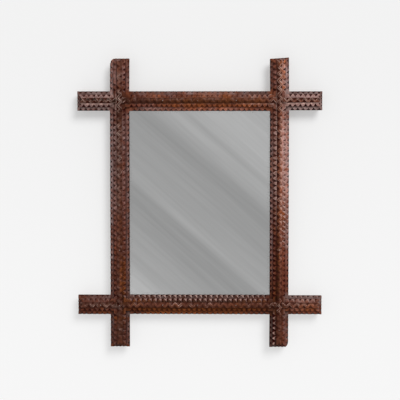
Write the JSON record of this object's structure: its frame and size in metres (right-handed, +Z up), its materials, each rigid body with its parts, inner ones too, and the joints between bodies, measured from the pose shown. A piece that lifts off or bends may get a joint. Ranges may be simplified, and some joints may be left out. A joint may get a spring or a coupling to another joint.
{
  "type": "wall mirror in a tramp art frame",
  "caption": "Wall mirror in a tramp art frame: chip-carved layered wooden members cross at the corners and run on as horns, with a swinging hanging ring on the back.",
  "frame": {"origin": "middle of the hanging ring's pivot, on the back of the top rail", "axes": "+Z up along the stiles, +Y back towards the wall, the carved front faces -Y, +X to the viewer's right"},
  "size_m": [0.487, 0.0362, 0.5759],
  "materials": {
    "back_wood": "plain sawn pine, aged, unvarnished",
    "lower_wood": "chip-carved, dark reddish-brown varnish, worn on the arrises",
    "middle_wood": "chip-carved, reddish-brown varnish, worn on the arrises",
    "ridge_wood": "chip-carved, brown varnish, worn on the zigzag",
    "mirror": "silvered glass, slightly aged",
    "board_wood": "thin raw board, darkened with age",
    "brad_iron": "dark drawn iron wire",
    "hanger_brass": "tarnished sheet and wire",
    "screw_iron": "dark slotted screws"
  },
  "bodies": {
    "frame": {"back_left_stile": "back_wood", "back_right_stile": "back_wood", "back_top_rail": "back_wood", "back_bottom_rail": "back_wood", "lower_left_stile": "lower_wood", "lower_right_stile": "lower_wood", "lower_top_rail": "lower_wood", "lower_bottom_rail": "lower_wood", "lower_top_left_horn": "lower_wood", "lower_top_right_horn": "lower_wood", "lower_bottom_left_horn": "lower_wood", "lower_bottom_right_horn": "lower_wood", "middle_left_stile": "middle_wood", "middle_right_stile": "middle_wood", "middle_top_rail": "middle_wood", "middle_bottom_rail": "middle_wood", "middle_top_left_horn": "middle_wood", "middle_top_right_horn": "middle_wood", "middle_bottom_left_horn": "middle_wood", "middle_bottom_right_horn": "middle_wood", "ridge_left_stile": "ridge_wood", "ridge_right_stile": "ridge_wood", "ridge_top_rail": "ridge_wood", "ridge_bottom_rail": "ridge_wood", "ridge_top_left_horn": "ridge_wood", "ridge_top_right_horn": "ridge_wood", "ridge_bottom_left_horn": "ridge_wood", "ridge_bottom_right_horn": "ridge_wood", "mirror_glass": "mirror", "backboard": "board_wood", "backboard_brads": "brad_iron", "layer_brads": "brad_iron", "hanger_strap": "hanger_brass", "hanger_screws": "screw_iron"},
    "ring": {"hanging_ring": "hanger_brass"}
  },
  "joints": [
    {"name": "ring_swing", "type": "hinge", "parent": "frame", "child": "ring", "pos_m": [0, 0, 0], "axis": [1, 0, 0], "range_deg": [0, 180]}
  ]
}
